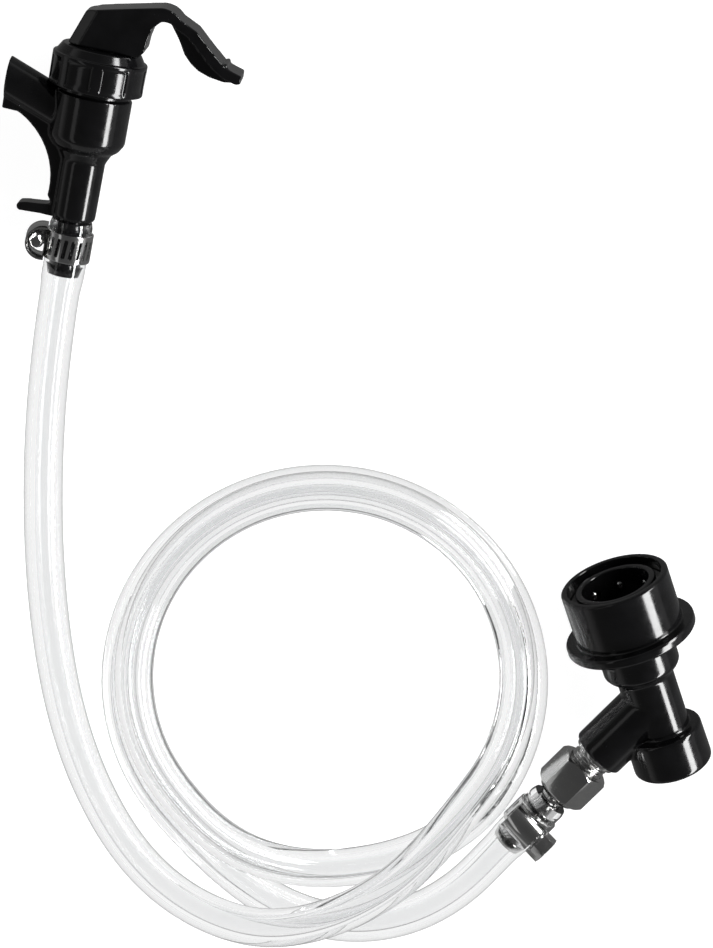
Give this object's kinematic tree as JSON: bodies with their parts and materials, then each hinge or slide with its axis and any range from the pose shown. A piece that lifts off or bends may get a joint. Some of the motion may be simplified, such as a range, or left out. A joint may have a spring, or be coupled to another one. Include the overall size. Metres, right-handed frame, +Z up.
{
  "type": "keg tap line",
  "caption": "Thumb-lever plastic picnic tap on a coiled clear hose, ending in a swivel flare fitting and a ball-lock keg disconnect.",
  "frame": {"origin": "on the table, under the middle of the tap, fitting and disconnect taken together", "axes": "+Z up from the table it lies on, +Y from the coil towards the tap, +X from the tap's side towards the disconnect's side"},
  "size_m": [0.1992, 0.273, 0.0372],
  "materials": {
    "black_plastic": "gloss",
    "stainless_steel": "satin",
    "black_rubber": "matte",
    "clear_hose": "gloss",
    "white_nylon": "satin"
  },
  "bodies": {
    "line": {"tap_body": "black_plastic", "bonnet_cap": "black_plastic", "bonnet_gasket": "black_rubber", "tap_clamp_band": "stainless_steel", "tap_clamp_housing": "stainless_steel", "hose_tap_cuff": "clear_hose", "hose_tap_run": "clear_hose", "hose_coil": "clear_hose", "hose_cross_run": "clear_hose", "hose_end_run": "clear_hose", "hose_fitting_cuff": "clear_hose", "fitting_clamp_band": "stainless_steel", "fitting_clamp_housing": "stainless_steel", "barb_tail": "stainless_steel", "flare_washer": "white_nylon", "flare_stub": "stainless_steel", "disconnect_body": "black_plastic", "retaining_ring": "stainless_steel", "locking_balls": "stainless_steel", "post_seal": "black_rubber", "end_plug": "black_plastic", "end_plug_gasket": "black_rubber"},
    "valve": {"seat_seal": "black_rubber", "spring_washer": "stainless_steel", "valve_spring": "stainless_steel"},
    "stem": {"valve_stem": "black_plastic", "stem_oring": "black_rubber", "lever_pin": "stainless_steel"},
    "lever": {"tap_lever": "black_plastic"},
    "sleeve": {"locking_sleeve": "black_plastic", "sleeve_spring": "stainless_steel"},
    "poppet": {"poppet": "black_plastic", "poppet_oring": "black_rubber", "poppet_spring": "stainless_steel"},
    "nut": {"swivel_nut": "stainless_steel"},
    "tap_clamp_worm": {"tap_clamp_screw": "stainless_steel"},
    "fitting_clamp_worm": {"fitting_clamp_screw": "stainless_steel"}
  },
  "joints": [
    {"name": "stem_lift", "type": "slide", "parent": "line", "child": "valve", "axis": [0.203, 0.9716, 0.1219], "range_m": [0, 0.003], "stiffness_N_per_m": 900, "springref_m": -0.002, "deforming": ["valve_spring"]},
    {"name": "lever_swivel", "type": "hinge", "parent": "valve", "child": "stem", "pos_m": [-0.07338, 0.10186, 0.01354], "axis": [-0.203, -0.9716, -0.1219], "continuous": true},
    {"name": "lever_press", "type": "hinge", "parent": "stem", "child": "lever", "pos_m": [-0.07084, 0.11401, 0.01507], "axis": [0.0249, 0.1193, -0.9925], "range_deg": [0, 18]},
    {"name": "sleeve_pull", "type": "slide", "parent": "line", "child": "sleeve", "axis": [0.3209, -0.932, -0.1685], "range_m": [0, 0.0034], "stiffness_N_per_m": 1500, "springref_m": -0.003, "deforming": ["sleeve_spring"]},
    {"name": "poppet_push", "type": "slide", "parent": "line", "child": "poppet", "axis": [0.3209, -0.932, -0.1685], "range_m": [0, 0.0025], "stiffness_N_per_m": 400, "springref_m": -0.004, "deforming": ["poppet_spring"]},
    {"name": "nut_turn", "type": "hinge", "parent": "line", "child": "nut", "pos_m": [0.05945, -0.09964, 0.01004], "axis": [-0.6597, -0.7385, -0.1393], "continuous": true},
    {"name": "tap_clamp_turn", "type": "hinge", "parent": "line", "child": "tap_clamp_worm", "pos_m": [-0.09176, 0.05692, 0.00861], "axis": [-0.0775, 0.14, -0.9871], "continuous": true},
    {"name": "fitting_clamp_turn", "type": "hinge", "parent": "line", "child": "fitting_clamp_worm", "pos_m": [0.04523, -0.11204, 0.01602], "axis": [0.6944, -0.6699, 0.2627], "continuous": true}
  ],
  "couplings": [
    {"joint": "lever_press", "follows": "stem_lift", "rad_per_m": 104}
  ]
}
